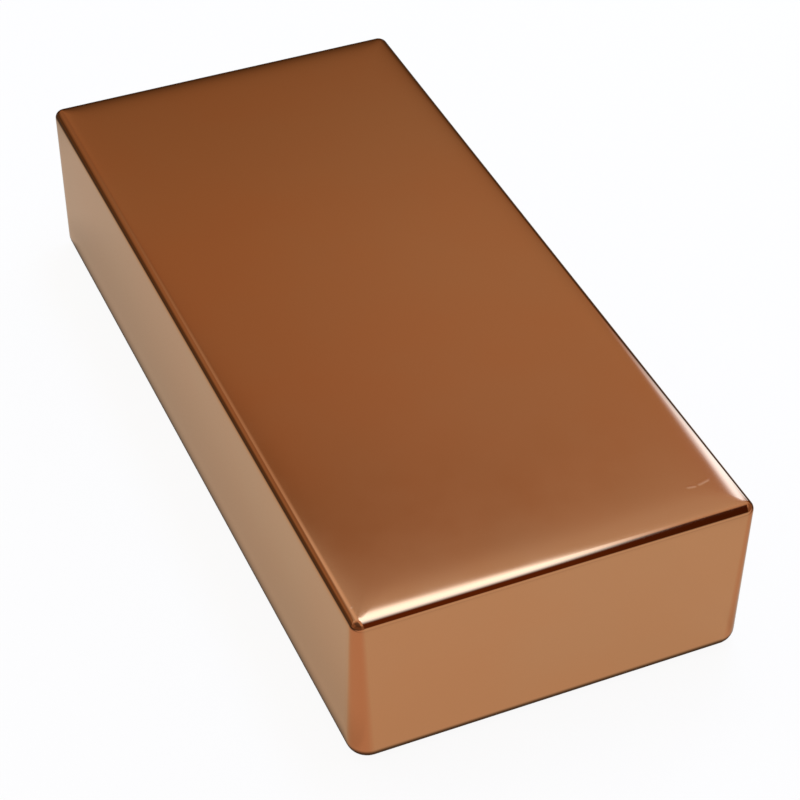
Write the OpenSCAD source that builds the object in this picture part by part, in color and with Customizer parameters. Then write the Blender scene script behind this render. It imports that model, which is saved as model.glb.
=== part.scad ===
// Copper ingot: a flat rectangular bar with rounded edges, lying on its largest face.
// Millimetres. The origin is the middle of the bottom face, the length runs along Y and Z is up.

/* [Bar] */
// Length of the bar, from its front end to its back end
bar_length = 106; // [60:0.5:160]
// Width of the bar, from its left side to its right side
bar_width = 48.4; // [30:0.1:80]
// Height of the bar, from the face that it lies on to its top face
bar_height = 21.9; // [8:0.1:40]

/* [Edges] */
// Radius of the four upright edges
upright_radius = 2.2; // [1:0.1:6]
// Radius of the edge round the top face
top_radius = 1; // [0.3:0.1:3]
// Radius of the edge round the bottom face
bottom_radius = 2; // [0.3:0.1:3]

/* [Hidden] */
$fn = 96;
// Polished copper
copper = [0.68, 0.44, 0.29];
// The edges round the top and bottom turn the corners inside the upright radius, so they are no larger
top_edge = min(top_radius, upright_radius);
bottom_edge = min(bottom_radius, upright_radius);
// Middles of the upright edges' arcs
corner_x = bar_width / 2 - upright_radius;
corner_y = bar_length / 2 - upright_radius;
// How far a cutting shape reaches past the stock that it cuts
overcut = 1;

// What a round of the given radius takes off a square corner, with the round's middle at the origin
module corner_waste(radius) {
    difference() {
        square(radius + overcut);
        circle(radius);
    }
}

// Half of an upright section: x is the distance out from the middle, and the bar's face is at the given reach
module half_section(reach) {
    difference() {
        square([reach, bar_height]);
        translate([reach - top_edge, bar_height - top_edge])
            corner_waste(top_edge);
        translate([reach - bottom_edge, bottom_edge])
            mirror([0, 1])
                corner_waste(bottom_edge);
    }
}

// Straight run of an upright section, centred on the origin and going along Y
module straight_run(run) {
    rotate([90, 0, 0])
        linear_extrude(run, center = true)
            children();
}

// Main length of the bar, with the whole section across its width
module main_length() {
    straight_run(2 * corner_y)
        for (side = [0, 1])
            mirror([side, 0])
                half_section(bar_width / 2);
}

// Rim along one end of the bar: a straight run between two upright edges, on the same section
module end_rim() {
    rotate(90)
        straight_run(2 * corner_x)
            half_section(upright_radius);
    for (side = [0, 1])
        mirror([side, 0, 0])
            translate([corner_x, 0, 0])
                rotate_extrude(angle = 90)
                    half_section(upright_radius);
}

module ingot() {
    color(copper) {
        main_length();
        for (end = [0, 1])
            mirror([0, end, 0])
                translate([0, corner_y, 0])
                    end_rim();
    }
}

ingot();
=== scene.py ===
"""Looks of the copper ingot: its polished skin, the studio round it and the photograph's camera."""

import math

import bpy
import numpy as np
from mathutils import Euler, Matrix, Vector, noise


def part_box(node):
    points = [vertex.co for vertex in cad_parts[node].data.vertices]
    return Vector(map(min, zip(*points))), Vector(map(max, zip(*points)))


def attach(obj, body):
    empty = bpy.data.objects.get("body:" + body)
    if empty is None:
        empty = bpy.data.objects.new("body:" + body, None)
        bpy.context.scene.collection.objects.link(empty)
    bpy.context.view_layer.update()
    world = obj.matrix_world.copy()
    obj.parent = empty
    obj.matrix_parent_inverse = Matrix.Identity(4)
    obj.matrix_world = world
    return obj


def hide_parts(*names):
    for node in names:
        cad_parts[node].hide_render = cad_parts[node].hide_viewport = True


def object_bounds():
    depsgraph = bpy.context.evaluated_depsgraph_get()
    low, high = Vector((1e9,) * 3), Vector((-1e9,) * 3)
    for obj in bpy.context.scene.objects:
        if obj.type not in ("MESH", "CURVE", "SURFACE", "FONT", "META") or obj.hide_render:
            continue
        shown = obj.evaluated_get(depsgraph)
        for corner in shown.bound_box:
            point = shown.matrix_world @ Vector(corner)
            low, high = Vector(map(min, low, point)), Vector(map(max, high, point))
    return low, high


# Lengths are in metres. A range is four numbers: a value from the first to the second gives a level
# from the third to the fourth, and beyond them the level stays.

# Edges of the bar; polishing has sharpened the upright edges a little towards the top
UPRIGHT_RADIUS_TOP = 0.0013
UPRIGHT_RADIUS_BOTTOM = 0.0026
TOP_RADIUS = 0.0010
BOTTOM_RADIUS = 0.0020

# Towards its edges the top face rolls off: the slope at the edge, and the distance to a third of it
ROLL_ANGLE = math.radians(5)
ROLL_REACH = 0.0012
# Width of the band that rolls off, the rings of the mesh in it, and how fast its corners grow rounder inwards
ROLL_WIDTH = 6 * ROLL_REACH
ROLL_RINGS = 24
ROLL_CORNER_GROWTH = 0.35

# Depth and length of the slight waves that polishing leaves on the faces
WAVE_DEPTH = 0.000006
WAVE_LENGTH = 0.016

# How far the handled look of an edge reaches onto the faces, and its share at the outer end of the roll-off
EDGE_REACH = 0.0009
ROLL_EDGE_SHARE = 0.6

# How fully the painted reflection, a redder tone, fills the turn of an upright edge
UPRIGHT_REFLECTION_FILL = 1.5

# Polishing lines: how many to a metre across and along the bar, and their depth
LINES_ACROSS = 3500.0
LINES_ALONG = 90.0
LINE_DEPTH = 0.0000003

# Marks of handling, each a slightly raised line with a paler tone painted on as a highlight:
# start, end, half width and height
MARKS = [
    ((0.01840, -0.04735, 0.02190), (0.01915, -0.04745, 0.02190), 0.00030, 0.000004),
    ((0.01980, -0.04735, 0.02190), (0.02097, -0.04707, 0.02190), 0.00033, 0.000004),
    ((-0.02350, -0.05150, 0.02160), (-0.02380, -0.05220, 0.02130), 0.00014, 0.000002),
    ((-0.02310, -0.04990, 0.02185), (-0.02320, -0.05000, 0.02185), 0.00018, 0.000002),
]

# Tones of the copper: two that change softly over the faces, the redder one of the upright edges,
# which is a painted reflection, the paler one of the marks, which is a painted highlight,
# and the tint of the metal seen at a low angle
FACE_TONE = (0.486, 0.215, 0.093, 1.0)
FACE_TONE_PALE = (0.479, 0.224, 0.101, 1.0)
UPRIGHT_REFLECTION_TONE = (0.450, 0.158, 0.062, 1.0)
MARK_HIGHLIGHT_TONE = (0.580, 0.320, 0.190, 1.0)
GRAZING_TINT = (0.76, 0.73, 0.635, 1.0)

# Change of tone and of roughness over the faces: fineness and range, and how much smoother the edges are
TONE_FINENESS = 45.0
TONE_RANGE = (0.32, 0.68, 0.0, 1.0)
ROUGHNESS_FINENESS = 160.0
ROUGHNESS_RANGE = (0.3, 0.7, 0.085, 0.105)
EDGE_ROUGHNESS_CHANGE = -0.02

# Fineness of the skin's mesh, and of the sheets of the lights
GRID_STEP = 0.00075
ARC_STEPS = 10
SHEET_STEPS = 24

WHITE = (1.0, 1.0, 1.0, 1.0)

# Floor as the metal mirrors it, painted: a painted pool of light near the bar, by the distance from it
FLOOR_REACH = 0.6
NEAR_POOL = (0.018, 0.060, 1.0, 0.04)
# A painted pool of light in front of the bar, by the place along Y,
# but not far out on the left, by the place along X
FRONT_POOL = (-0.100, -0.060, 1.0, 0.0)
FRONT_POOL_LEFT = (-0.130, -0.070, 0.0, 1.0)
POOL_ALONG = (-0.04, 0.06, 1.04, 0.95)
# A painted shadow where the bar touches it, and painted shade beside the long sides,
# by the distance from the bar
CONTACT_SHADOW = (0.0, 0.0015, 0.12, 1.0)
SIDE_SHADE = (0.001, 0.008, 0.15, -0.01)
SIDE_SHADE_RISE = 0.002

# White of the floor in the camera's view, its shares there and in the metal, and the paper below it
SEEN_WHITE = 1.06
SEEN_SHARE = 0.88
MIRRORED_SHARE = 0.82
PAPER = (0.8, 0.8, 0.8, 1.0)

# Light of the room by height, as the metal shows it: at the back, at the front and in a dark gap there
ROOM_AT_BACK = [
    (0.00, (0.110, 0.074, 0.042)),
    (0.25, (0.135, 0.090, 0.053)),
    (0.39, (0.125, 0.083, 0.050)),
    (0.48, (0.320, 0.211, 0.132)),
    (0.54, (0.485, 0.322, 0.206)),
    (0.60, (0.610, 0.412, 0.272)),
    (0.65, (0.595, 0.383, 0.252)),
    (0.69, (0.495, 0.318, 0.205)),
    (0.74, (0.550, 0.400, 0.290)),
    (0.86, (1.000, 0.850, 0.780)),
]
ROOM_AT_FRONT = [
    (0.00, (0.420, 0.320, 0.250)),
    (0.30, (0.400, 0.290, 0.210)),
    (0.60, (0.420, 0.300, 0.220)),
    (0.86, (1.000, 0.850, 0.780)),
]
GAP_AT_FRONT = [
    (0.00, (0.850, 0.850, 0.850)),
    (0.05, (0.800, 0.780, 0.750)),
    (0.13, (0.170, 0.050, 0.012)),
    (1.00, (0.170, 0.050, 0.012)),
]

# The room is given by the direction from the bar: x to the right, y to the back and z up
FRONT_TO_BACK = (0.10, 0.45, 1.0, 0.0)

# Room at the back: on the left, the right and in the middle, light of a greater height comes further down
LEFT_RISE = (-0.60, -0.20, 0.12, 0.0)
RIGHT_RISE = (0.44, 0.58, 0.0, 0.10)
MIDDLE_RISE = (0.08, 0.17, 0.12, 0.0)
# Its brightness across, and where it is brighter low on the left
BACK_ACROSS = (0.15, 0.45, 0.86, 1.06)
LOW_LEFT_ACROSS = (-0.62, -0.40, 1.0, 0.0)
LOW_LEFT_UP = (0.20, 0.45, 1.0, 0.0)
LOW_LEFT_GAIN = 1.5
# Its pale glow, by the angle up from the back
GLOW_AT_BACK = (0.30, 0.42, 0.52, 1.0)
GLOW_START = (math.radians(46.0), math.radians(48.4), 0.0, 1.0)
GLOW_END = (math.radians(55.0), math.radians(65.0), 1.0, 0.0)

# Room at the front: the middle and edges of its dark gap, and the gap's brightness across
GAP_MIDDLE = 0.36
GAP_EDGE = (0.17, 0.25, 1.0, 0.0)
GAP_ACROSS = (0.33, 0.42, 1.0, 0.5)
# It is dimmed on the left, either well to the front or high up, and more so with height
DIM_LEFT = (-0.24, -0.05, 1.0, 0.0)
DIM_FORWARD = (-0.34, -0.12, 1.0, 0.0)
DIM_HIGH = (0.55, 0.75, 0.0, 1.0)
DIMMING = (0.42, 0.75, 0.35, 0.80)

# Camera, from the outline of the bar in the photograph
CAMERA_PLACE = Vector((-0.09063, -0.21701, 0.20352))
CAMERA_AIM = Vector((0.0, -0.00928, 0.01095))
CAMERA_ROLL = math.radians(0.404)
CAMERA_LENS = 109.1
CAMERA_SENSOR = 36.0
CAMERA_NEAREST = 0.01
CAMERA_FARTHEST = 10.0


def perimeter(steps_x, steps_y):
    """Once round a rectangle: grid columns, rows and outward directions, which turn at its corners."""
    columns = np.arange(steps_x + 1)
    rows = np.arange(steps_y + 1)
    turn = np.radians(np.linspace(0, 90, ARC_STEPS + 1))[1:-1]
    sides = [
        (np.full(steps_y + 1, steps_x), rows),
        (columns[::-1], np.full(steps_x + 1, steps_y)),
        (np.zeros(steps_y + 1, int), rows[::-1]),
        (columns, np.zeros(steps_x + 1, int)),
    ]
    column, row, angle = [], [], []
    for quarter, (side_column, side_row) in enumerate(sides):
        start = quarter * math.pi / 2
        column += [side_column, np.full(len(turn), side_column[-1])]
        row += [side_row, np.full(len(turn), side_row[-1])]
        angle += [np.full(len(side_column), start), start + turn]
    angle = np.concatenate(angle)
    return np.concatenate(column), np.concatenate(row), np.stack([np.cos(angle), np.sin(angle)], 1)


def section(height):
    """Levels of the bar's upright section, top first: distance in, height, slope and edge share."""
    roll_drop = ROLL_REACH * math.tan(ROLL_ANGLE)
    top_run = TOP_RADIUS * (1 - math.sin(ROLL_ANGLE))
    wall_top = height - roll_drop - TOP_RADIUS * math.cos(ROLL_ANGLE)
    wall_steps = round((wall_top - BOTTOM_RADIUS) / GRID_STEP)
    levels = []
    for s in np.linspace(ROLL_WIDTH, 0, ROLL_RINGS + 1)[:-1]:
        left = math.exp(-s / ROLL_REACH)
        levels.append((top_run + s, height - roll_drop * left, ROLL_ANGLE * left, ROLL_EDGE_SHARE * left))
    for a in np.linspace(ROLL_ANGLE, math.pi / 2, ARC_STEPS + 1):
        levels.append((TOP_RADIUS * (1 - math.sin(a)), wall_top + TOP_RADIUS * math.cos(a), a, 1.0))
    for z in np.linspace(wall_top, BOTTOM_RADIUS, wall_steps + 1)[1:-1]:
        nearest = min(wall_top - z, z - BOTTOM_RADIUS)
        levels.append((0.0, z, math.pi / 2, math.exp(-nearest / EDGE_REACH)))
    for a in np.linspace(math.pi / 2, math.pi, ARC_STEPS + 1):
        levels.append((BOTTOM_RADIUS * (1 - math.sin(a)), BOTTOM_RADIUS * (1 + math.cos(a)), a, 1.0))
    return levels


def corner_radius(inset, z, slope, height, core_inset):
    """Radius of a level's corners: the upright edge's on the sides, and growing inwards over the roll-off."""
    upright = UPRIGHT_RADIUS_BOTTOM + (UPRIGHT_RADIUS_TOP - UPRIGHT_RADIUS_BOTTOM) * z / height
    if slope >= ROLL_ANGLE:
        return upright - inset
    rim = TOP_RADIUS * (1 - math.sin(ROLL_ANGLE))
    return min(upright - rim + ROLL_CORNER_GROWTH * (inset - rim), core_inset - inset)


def skin_mesh(low, high):
    """Points, normals, edge and painted-reflection shares, and faces: even grids on the sides, fine arcs
    between.
    """
    half = np.array([high.x - low.x, high.y - low.y]) / 2
    height = high.z - low.z
    levels = section(height)
    core_inset = levels[0][0]
    core = half - core_inset
    steps_x, steps_y = (round(2 * length / GRID_STEP) for length in core)
    column, row, outward = perimeter(steps_x, steps_y)
    corner = np.stack([2 * column / steps_x - 1, 2 * row / steps_y - 1], 1)
    across, along = np.meshgrid(np.linspace(-1, 1, steps_x + 1), np.linspace(-1, 1, steps_y + 1))
    flat = np.stack([across.ravel(), along.ravel()], 1)
    from_corner = np.abs(1 - np.abs(corner)) * core
    beside_corner = np.exp(-from_corner.max(1) / EDGE_REACH)
    # Share of the painted reflection, a redder tone, round the turn of each upright edge
    upright_reflection_mask = np.minimum(1.0, UPRIGHT_REFLECTION_FILL * np.abs(2 * outward[:, 0] * outward[:, 1]))
    points, normals, edges, upright_reflections, faces = [], [], [], [], []

    def add(xy, z, normal_xy, normal_z, edge, upright):
        first = sum(len(p) for p in points)
        points.append(np.column_stack([xy, np.full(len(xy), z)]))
        normals.append(np.column_stack([normal_xy, np.full(len(xy), normal_z)]))
        edges.append(np.broadcast_to(edge, len(xy)))
        upright_reflections.append(np.broadcast_to(upright, len(xy)))
        return first

    def add_flat(z, normal_z):
        first = add(flat * core, z, np.zeros_like(flat), normal_z, 0.0, 0.0)
        cell = (np.arange(steps_y)[:, None] * (steps_x + 1) + np.arange(steps_x)).ravel() + first
        ring = np.stack([cell, cell + 1, cell + steps_x + 2, cell + steps_x + 1], 1)
        faces.extend((ring if normal_z > 0 else ring[:, ::-1]).tolist())
        return first + row * (steps_x + 1) + column

    def join(upper, lower):
        around = np.stack([upper, lower, np.roll(lower, -1), np.roll(upper, -1)], 1)
        faces.extend(list(dict.fromkeys(ring)) for ring in around.tolist())

    above = add_flat(height, 1.0)
    for inset, z, slope, edge in levels[1:]:
        radius = corner_radius(inset, z, slope, height, core_inset)
        xy = corner * (half - inset - radius) + radius * outward
        steep = math.sin(slope)
        upright_reflection_share = upright_reflection_mask * steep
        edge_share = np.maximum(edge, beside_corner * steep)
        first = add(xy, z, steep * outward, math.cos(slope), edge_share, upright_reflection_share)
        ring = np.arange(first, first + len(xy))
        join(above, ring)
        above = ring
    join(above, add_flat(0.0, -1.0))
    return [np.concatenate(rows) for rows in (points, normals, edges, upright_reflections)], faces


def make_skin(low, high):
    """The ingot's visible skin, which stands for its solid; the waves sink in and spare the edges."""
    (points, normals, edges, upright_reflections), faces = skin_mesh(low, high)
    wave = np.array([noise.noise(Vector(p) / WAVE_LENGTH) for p in points])
    points = points - normals * ((1 - edges) * WAVE_DEPTH * (0.5 + wave))[:, None]
    mesh = bpy.data.meshes.new("ingot_skin")
    mesh.from_pydata(points.tolist(), [], faces)
    # The upright attribute carries the share of the painted reflection on the upright edges
    for name, shares in (("edge", edges), ("upright", upright_reflections)):
        values = mesh.attributes.new(name, "FLOAT", "POINT").data
        values.foreach_set("value", shares.astype(np.float32))
    mesh.polygons.foreach_set("use_smooth", np.ones(len(mesh.polygons), bool))
    mesh.validate()
    skin = bpy.data.objects.new("ingot_skin", mesh)
    bpy.context.scene.collection.objects.link(skin)
    return skin


class Nodes:
    """Short way to write a node tree: each call adds a node, sets its plain inputs and links the rest."""

    def __init__(self, tree):
        self.tree = tree
        tree.nodes.clear()

    def add(self, kind, inputs=None, **settings):
        node = self.tree.nodes.new(kind)
        for name, value in settings.items():
            setattr(node, name, value)
        for name, value in (inputs or {}).items():
            if isinstance(value, bpy.types.NodeSocket):
                self.tree.links.new(value, node.inputs[name])
            else:
                node.inputs[name].default_value = value
        return node

    def math(self, operation, a, b=0.0):
        return self.add("ShaderNodeMath", {0: a, 1: b}, operation=operation).outputs[0]

    def vector(self, operation, a, b=(0.0, 0.0, 0.0)):
        node = self.add("ShaderNodeVectorMath", {0: a, 1: b}, operation=operation)
        return node.outputs["Value" if operation in ("LENGTH", "DOT_PRODUCT") else "Vector"]

    def scale(self, vector, factor):
        node = self.add("ShaderNodeVectorMath", {0: vector, "Scale": factor}, operation="SCALE")
        return node.outputs["Vector"]

    def parts(self, vector):
        node = self.add("ShaderNodeSeparateXYZ", {0: vector})
        return [node.outputs[axis] for axis in "XYZ"]

    def spread(self, value, low, high, to_low, to_high):
        """value from low to high becomes to_low to to_high, held at both ends."""
        names = {"Value": value, "From Min": low, "From Max": high, "To Min": to_low, "To Max": to_high}
        return self.add("ShaderNodeMapRange", names, interpolation_type="SMOOTHSTEP").outputs["Result"]

    def noise(self, place, scale, detail=3.0):
        node = self.add("ShaderNodeTexNoise", {"Vector": place, "Scale": scale, "Detail": detail})
        return node.outputs["Fac"]

    def mix(self, share, a, b, blend="MIX"):
        """Colours a and b mixed; the node's colour sockets are known by their numbers only."""
        node = self.add("ShaderNodeMix", {0: share, 6: a, 7: b}, data_type="RGBA", blend_type=blend)
        return node.outputs[2]

    def stroke(self, place, start, end, width):
        """1 on the line from start to end, falling to 0 at the given distance from it."""
        run = Vector(end) - Vector(start)
        heading = run.normalized()
        from_start = self.vector("SUBTRACT", place, start)
        along = self.vector("DOT_PRODUCT", from_start, heading)
        along = self.math("MINIMUM", self.math("MAXIMUM", along, 0.0), run.length)
        away = self.vector("LENGTH", self.vector("SUBTRACT", from_start, self.scale(heading, along)))
        return self.spread(away, 0.0, width, 1.0, 0.0)

    def ramp(self, value, stops):
        """Colours by value; a new ramp has two stops, and the others are added."""
        node = self.add("ShaderNodeValToRGB", {"Fac": value})
        elements = node.color_ramp.elements
        for stop in stops[2:]:
            elements.new(stop[0])
        for element, (place, colour) in zip(elements, stops):
            element.position = place
            element.color = (*colour, 1.0)
        return node.outputs["Color"]


def copper_relief(n, place):
    """Fine relief of polishing lines and marks of handling: height in metres, and the marks' painted
    highlight share.
    """
    across_and_along = n.vector("MULTIPLY", place, (LINES_ACROSS, LINES_ALONG, LINES_ACROSS))
    height = n.math("MULTIPLY", n.noise(across_and_along, scale=1.0, detail=2.0), LINE_DEPTH)
    mark_highlight_share = 0.0
    for start, end, width, rise in MARKS:
        mark = n.stroke(place, start, end, width)
        height = n.math("ADD", height, n.math("MULTIPLY", mark, rise))
        mark_highlight_share = n.math("MAXIMUM", mark, mark_highlight_share)
    return height, mark_highlight_share


def copper_material():
    """Polished copper: soft tone changes on the faces, a redder painted reflection on the upright edges, fine
    relief.
    """
    material = bpy.data.materials.new("copper")
    material.use_nodes = True
    n = Nodes(material.node_tree)
    place = n.add("ShaderNodeTexCoord").outputs["Object"]
    edge = n.add("ShaderNodeAttribute", attribute_name="edge").outputs["Fac"]
    # The upright attribute gives where the painted reflection, a redder tone, lies on the upright edges
    upright = n.add("ShaderNodeAttribute", attribute_name="upright").outputs["Fac"]
    pale = n.spread(n.noise(place, TONE_FINENESS), *TONE_RANGE)
    height, mark_highlight_share = copper_relief(n, place)
    colour = n.mix(upright, n.mix(pale, FACE_TONE, FACE_TONE_PALE), UPRIGHT_REFLECTION_TONE)
    # The marks get a paler tone: a painted highlight on their raised lines
    colour = n.mix(mark_highlight_share, colour, MARK_HIGHLIGHT_TONE)
    face_roughness = n.spread(n.noise(place, ROUGHNESS_FINENESS, detail=4.0), *ROUGHNESS_RANGE)
    roughness = n.math("ADD", face_roughness, n.math("MULTIPLY", edge, EDGE_ROUGHNESS_CHANGE))
    bump = n.add("ShaderNodeBump", {"Height": height, "Distance": 1.0, "Strength": 1.0})
    names = {
        "Base Color": colour,
        "Metallic": 1.0,
        "Roughness": roughness,
        "Specular Tint": GRAZING_TINT,
        "Normal": bump.outputs["Normal"],
    }
    shader = n.add("ShaderNodeBsdfPrincipled", names)
    n.add("ShaderNodeOutputMaterial", {"Surface": shader.outputs[0]})
    return material


def mirrored_floor(n, place, footprint):
    """Floor brightness in the metal: painted light in front and near the bar, and a painted shadow at its
    foot.
    """
    straight = Vector((footprint.x - UPRIGHT_RADIUS_BOTTOM, footprint.y - UPRIGHT_RADIUS_BOTTOM, 0.0))
    outside = n.vector("MAXIMUM", n.vector("SUBTRACT", n.vector("ABSOLUTE", place), straight))
    away = n.math("SUBTRACT", n.vector("LENGTH", outside), UPRIGHT_RADIUS_BOTTOM)
    across, along = n.parts(place)[:2]
    near = n.spread(away, *NEAR_POOL)
    in_front = n.math("MULTIPLY", n.spread(along, *FRONT_POOL), n.spread(across, *FRONT_POOL_LEFT))
    pool = n.math("MULTIPLY", n.math("MAXIMUM", near, in_front), n.spread(along, *POOL_ALONG))
    painted_light = n.math("MULTIPLY", pool, n.spread(away, *CONTACT_SHADOW))
    shade_full = footprint.x + SIDE_SHADE_RISE
    beside = n.spread(n.math("ABSOLUTE", across), footprint.x, shade_full, 0.0, 1.0)
    painted_side_shade = n.math("MULTIPLY", beside, n.spread(away, *SIDE_SHADE))
    return n.math("MULTIPLY", painted_light, n.math("SUBTRACT", 1.0, painted_side_shade))


def floor_material(footprint):
    """White floor with the bar's soft shadow, and painted light and shade where the metal mirrors it."""
    material = bpy.data.materials.new("floor_white")
    material.use_nodes = True
    n = Nodes(material.node_tree)
    path = n.add("ShaderNodeLightPath").outputs
    seen = path["Is Camera Ray"]
    mirrored = n.math("MAXIMUM", path["Is Glossy Ray"], path["Is Transmission Ray"])
    place = n.add("ShaderNodeTexCoord").outputs["Object"]
    # The metal mirrors a painted pool of light and painted shadow on the floor
    mirror_level = mirrored_floor(n, place, footprint)
    level = n.math("MAXIMUM", mirror_level, n.math("MULTIPLY", seen, SEEN_WHITE))
    white = n.add("ShaderNodeEmission", {"Color": WHITE, "Strength": level})
    paper = n.add("ShaderNodeBsdfDiffuse", {"Color": PAPER})
    seen_share = n.math("MULTIPLY", seen, SEEN_SHARE)
    mirrored_share = n.math("MULTIPLY", mirrored, MIRRORED_SHARE)
    share = n.math("MAXIMUM", seen_share, mirrored_share)
    mixed = n.add("ShaderNodeMixShader", {0: share, 1: paper.outputs[0], 2: white.outputs[0]})
    n.add("ShaderNodeOutputMaterial", {"Surface": mixed.outputs[0]})
    return material


def make_floor(footprint):
    """The floor that the bar lies on."""
    mesh = bpy.data.meshes.new("floor")
    signs = [(-1, -1), (1, -1), (1, 1), (-1, 1)]
    mesh.from_pydata([(x * FLOOR_REACH, y * FLOOR_REACH, 0) for x, y in signs], [], [(0, 1, 2, 3)])
    mesh.materials.append(floor_material(footprint))
    floor = bpy.data.objects.new("floor", mesh)
    bpy.context.scene.collection.objects.link(floor)


def room_at_back(n, x, y, z):
    """Dim and warm, dark at eye level between the lighter sides and middle, with a glow below the arch."""
    side_rise = n.math("ADD", n.spread(x, *RIGHT_RISE), n.spread(n.math("ABSOLUTE", x), *MIDDLE_RISE))
    rise = n.math("ADD", n.spread(x, *LEFT_RISE), side_rise)
    wall = n.ramp(n.math("ADD", z, rise), ROOM_AT_BACK)
    wall = n.scale(wall, n.spread(x, *BACK_ACROSS))
    low_left = n.math("MULTIPLY", n.spread(x, *LOW_LEFT_ACROSS), n.spread(z, *LOW_LEFT_UP))
    wall = n.scale(wall, n.spread(low_left, 0.0, 1.0, 1.0, LOW_LEFT_GAIN))
    turn = n.math("ARCTAN2", z, y)
    glow = n.math("MULTIPLY", n.spread(turn, *GLOW_START), n.spread(turn, *GLOW_END))
    return n.mix(glow, wall, GLOW_AT_BACK, "ADD")


def room_at_front(n, x, y, z):
    """Warm, dim on the left, with a dark red gap to the right of the middle."""
    from_gap = n.math("ABSOLUTE", n.math("SUBTRACT", x, GAP_MIDDLE))
    gap = n.spread(from_gap, *GAP_EDGE)
    dark = n.scale(n.ramp(z, GAP_AT_FRONT), n.spread(x, *GAP_ACROSS))
    forward_or_high = n.math("MAXIMUM", n.spread(y, *DIM_FORWARD), n.spread(z, *DIM_HIGH))
    on_left = n.math("MULTIPLY", n.spread(x, *DIM_LEFT), forward_or_high)
    dimming = n.math("MULTIPLY", on_left, n.spread(z, *DIMMING))
    wall = n.scale(n.ramp(z, ROOM_AT_FRONT), n.math("SUBTRACT", 1.0, dimming))
    return n.mix(gap, wall, dark)


def make_world():
    """The room that the metal shows; the camera sees white where it looks past the floor."""
    world = bpy.data.worlds.new("studio")
    bpy.context.scene.world = world
    world.use_nodes = True
    n = Nodes(world.node_tree)
    x, y, z = n.parts(n.add("ShaderNodeTexCoord").outputs["Generated"])
    in_front = n.spread(y, *FRONT_TO_BACK)
    room = n.mix(in_front, room_at_back(n, x, y, z), room_at_front(n, x, y, z))
    seen = n.add("ShaderNodeLightPath").outputs["Is Camera Ray"]
    colour = n.mix(seen, room, WHITE)
    background = n.add("ShaderNodeBackground", {"Color": colour, "Strength": 1.0})
    n.add("ShaderNodeOutputWorld", {"Surface": background.outputs[0]})


def glow_material(name, colour, radiance, fades):
    """Light of a soft box, which fades over the given shares of its width and length at its four sides."""
    material = bpy.data.materials.new(name)
    material.use_nodes = True
    n = Nodes(material.node_tree)
    place = n.parts(n.add("ShaderNodeTexCoord").outputs["UV"])
    level = radiance
    for axis, (start, stop) in zip(place, (fades[:2], fades[2:])):
        level = n.math("MULTIPLY", n.spread(axis, 0.0, start, 0.0, 1.0), level)
        level = n.math("MULTIPLY", n.spread(axis, 1.0 - stop, 1.0, 1.0, 0.0), level)
    light = n.add("ShaderNodeEmission", {"Color": (*colour, 1.0), "Strength": level})
    clear = n.add("ShaderNodeBsdfTransparent")
    both = n.add("ShaderNodeAddShader", {0: light.outputs[0], 1: clear.outputs[0]})
    n.add("ShaderNodeOutputMaterial", {"Surface": both.outputs[0]})
    return material


def soft_box(name, place, colour, radiance, fades):
    """A curved luminous sheet, hidden from the camera; place gives its points by shares of its sides."""
    row = SHEET_STEPS + 1
    shares = [(u / SHEET_STEPS, v / SHEET_STEPS) for v in range(row) for u in range(row)]
    cells = [v * row + u for v in range(SHEET_STEPS) for u in range(SHEET_STEPS)]
    faces = [(c, c + 1, c + row + 1, c + row) for c in cells]
    mesh = bpy.data.meshes.new(name)
    mesh.from_pydata([place(u, v) for u, v in shares], [], faces)
    layer = mesh.uv_layers.new(name="shares")
    for loop in mesh.loops:
        layer.data[loop.index].uv = shares[loop.vertex_index]
    mesh.materials.append(glow_material(name, colour, radiance, fades))
    box = bpy.data.objects.new(name, mesh)
    box.visible_camera = False
    bpy.context.scene.collection.objects.link(box)


def overhead_arch():
    """A light arched from back to front over the bar, right of its middle and narrower towards the front."""
    reach = 0.75
    inner_lean = 0.12
    width = 0.296
    narrowing = 0.08
    # Angles up from the back, in degrees: its start, how much later that is on the outer side, and its end
    start_turn = 54.9
    outer_delay = 6.5
    end_turn = 124

    def place(u, v):
        lean = inner_lean + (width - narrowing * v * v) * u
        start = start_turn + outer_delay * u ** 4
        turn = math.radians(start + (end_turn - start) * v)
        return (reach * lean / math.sqrt(1 - lean * lean), reach * math.cos(turn), reach * math.sin(turn))

    soft_box("overhead_arch", place, colour=(0.30, 0.56, 1.0), radiance=6.3, fades=(0.1, 0.27, 0.05, 0.62))


def from_bearing(reach, turn, rise):
    """The point at a distance from the origin, turned to the right from the back and raised, in degrees."""
    level = reach * math.cos(math.radians(rise))
    bearing = math.radians(turn)
    return (level * math.sin(bearing), level * math.cos(bearing), reach * math.sin(math.radians(rise)))


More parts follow.
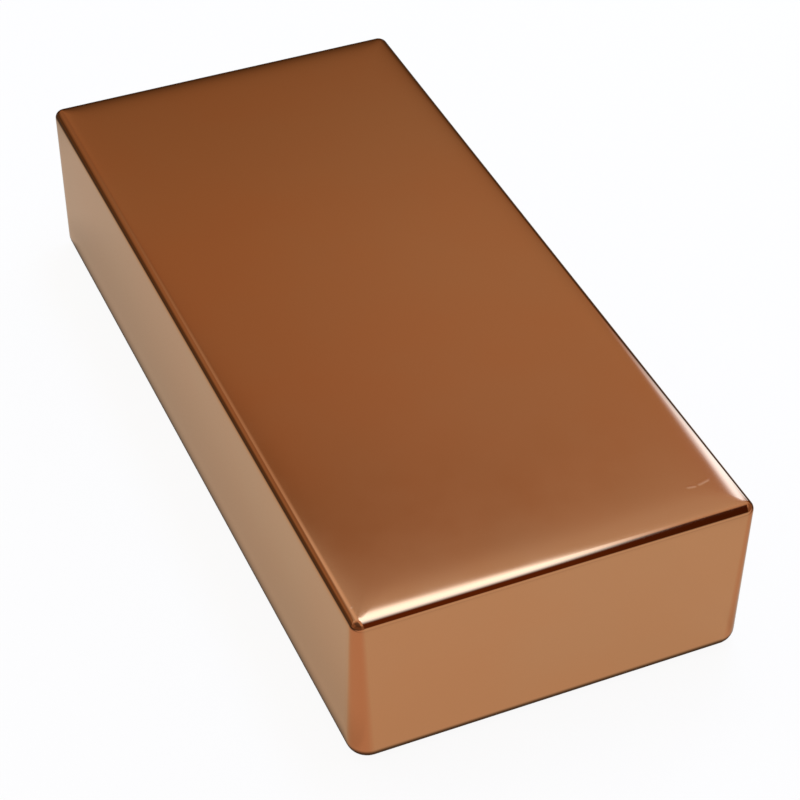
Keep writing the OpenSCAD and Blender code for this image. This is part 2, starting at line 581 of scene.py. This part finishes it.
def side_window():
    """A leaning window behind the bar on the right, taller on its right; its angles are in degrees."""
    reach = 0.3
    left_turn = 54.2
    width = 12
    leaning = 13
    sill = 16
    left_height = 22
    right_extra = 12

    def place(u, v):
        turn = left_turn + width * u - leaning * v
        return from_bearing(reach, turn, sill + (left_height + right_extra * u) * v)

    soft_box("side_window", place, colour=(0.21, 0.45, 0.95), radiance=9.0, fades=(0.8, 0.22, 0.2, 0.12))


def window_wall():
    """The wall beside the window, which its light brightens; its angles are in degrees."""
    reach = 0.62
    left_turn = 14
    width = 32
    foot = 26
    height = 24

    def place(u, v):
        return from_bearing(reach, left_turn + width * u, foot + height * v)

    soft_box("window_wall", place, colour=(0.34, 0.76, 1.0), radiance=0.105, fades=(0.45, 0.35, 0.4, 0.25))


def make_camera():
    """The photograph's camera."""
    camera = bpy.data.cameras.new("camera")
    camera.lens = CAMERA_LENS
    camera.sensor_width = CAMERA_SENSOR
    camera.clip_start = CAMERA_NEAREST
    camera.clip_end = CAMERA_FARTHEST
    holder = bpy.data.objects.new("camera", camera)
    holder.location = CAMERA_PLACE
    facing = (CAMERA_AIM - CAMERA_PLACE).to_track_quat("-Z", "Y")
    holder.rotation_euler = (facing @ Euler((0, 0, CAMERA_ROLL)).to_quaternion()).to_euler()
    bpy.context.scene.collection.objects.link(holder)
    bpy.context.scene.camera = holder


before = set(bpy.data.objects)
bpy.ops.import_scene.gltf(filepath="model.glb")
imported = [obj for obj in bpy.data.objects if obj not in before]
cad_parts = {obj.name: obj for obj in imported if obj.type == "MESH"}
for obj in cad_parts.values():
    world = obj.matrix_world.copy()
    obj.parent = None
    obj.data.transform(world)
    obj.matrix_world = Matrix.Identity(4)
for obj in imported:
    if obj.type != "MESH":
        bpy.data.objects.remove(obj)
cad_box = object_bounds()

make_camera()
make_world()
overhead_arch()
side_window()
window_wall()
make_floor(cad_box[1])

skin = make_skin(*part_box("ingot"))
skin.data.materials.append(copper_material())
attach(skin, "root")
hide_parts("ingot")

bpy.context.scene.view_settings.view_transform = "Standard"
